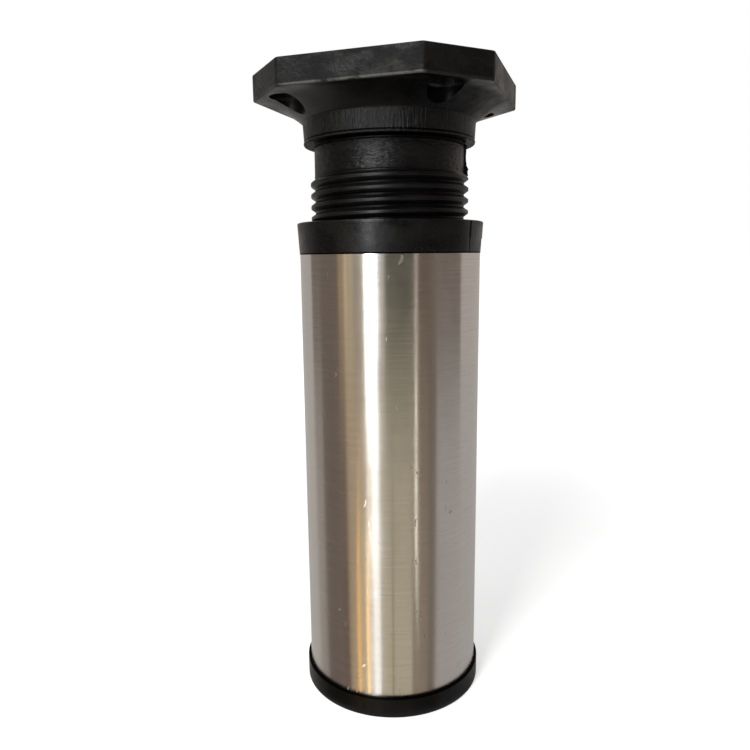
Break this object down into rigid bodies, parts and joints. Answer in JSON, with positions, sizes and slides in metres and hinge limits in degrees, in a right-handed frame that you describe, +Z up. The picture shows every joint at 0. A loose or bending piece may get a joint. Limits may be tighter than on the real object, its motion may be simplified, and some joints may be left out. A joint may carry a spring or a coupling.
{
  "type": "cabinet leg",
  "caption": "Height-adjustable round cabinet leg: steel tube with a foot cap and a screw-out mounting head with an octagonal plate.",
  "frame": {"origin": "middle of the foot cap's underside, on the floor", "axes": "+Z up along the tube's axis, +X and +Y square to the long sides of the mounting plate"},
  "size_m": [0.063, 0.063, 0.1721],
  "materials": {
    "head_plastic": "black moulded plastic, semi-matte, scuffed",
    "collar_plastic": "black moulded plastic, soft sheen",
    "tube_steel": "brushed stainless steel, hairlines round the tube",
    "foot_plastic": "black moulded plastic, satin"
  },
  "bodies": {
    "leg": {"leg_tube": "tube_steel", "foot_cap": "foot_plastic", "threaded_collar": "collar_plastic"},
    "head": {"mounting_head": "head_plastic"}
  },
  "joints": [
    {"name": "height_screw", "type": "slide", "parent": "leg", "child": "head", "axis": [0, 0, 1], "range_m": [-0.02, 0.005]}
  ]
}
